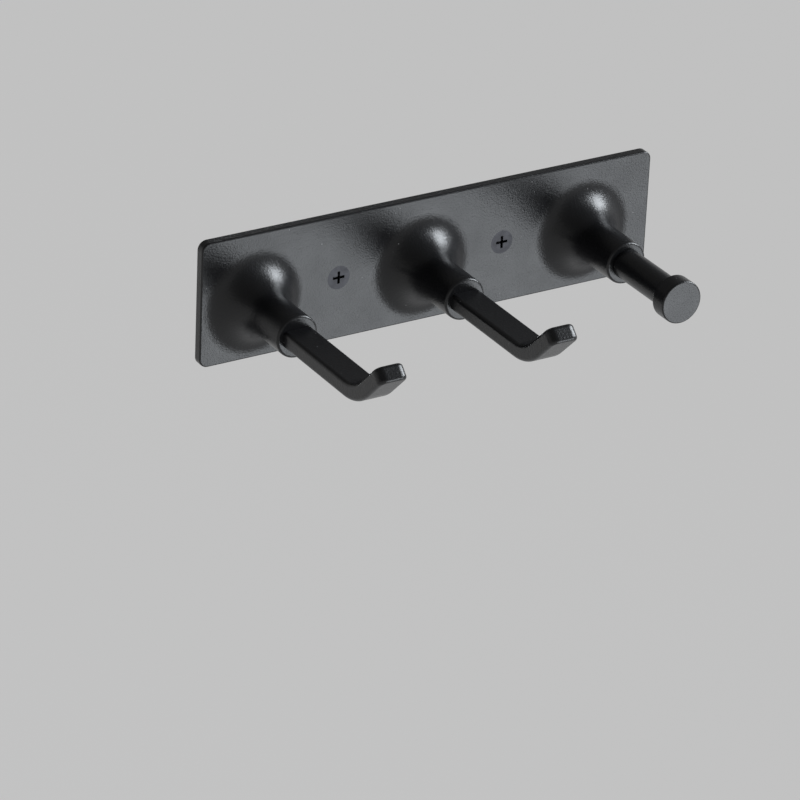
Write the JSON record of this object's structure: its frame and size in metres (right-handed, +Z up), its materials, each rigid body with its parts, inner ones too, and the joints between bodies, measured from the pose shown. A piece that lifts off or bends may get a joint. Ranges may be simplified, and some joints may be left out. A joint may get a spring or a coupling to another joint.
{
  "type": "hair dryer holder",
  "caption": "Wall-mounted hair dryer holder: a flat plate with flared roots, upturned flat arms for the dryer's barrel and a round headed hook for its cord.",
  "frame": {"origin": "centre of the plate's back, on the wall's surface", "axes": "+Y into the wall, so the arms stand out towards -Y; +X along the wall to the right as seen from the room; +Z up"},
  "size_m": [0.1644, 0.1205, 0.0426],
  "materials": {
    "black_coating": "fine-grained satin black powder coat on die-cast zinc alloy",
    "zinc_steel": "bright zinc plate",
    "black_steel": "black zinc plated screw",
    "grey_nylon": "moulded nylon",
    "black_foam": "closed-cell foam sheet"
  },
  "bodies": {
    "root": {"base_plate": "black_coating", "left_arm": "black_coating", "right_arm": "black_coating", "hook_pin": "black_coating", "hook_head": "black_coating", "root_screws": "zinc_steel", "wall_screws": "black_steel", "wall_plugs": "grey_nylon", "back_pad": "black_foam"}
  },
  "joints": []
}
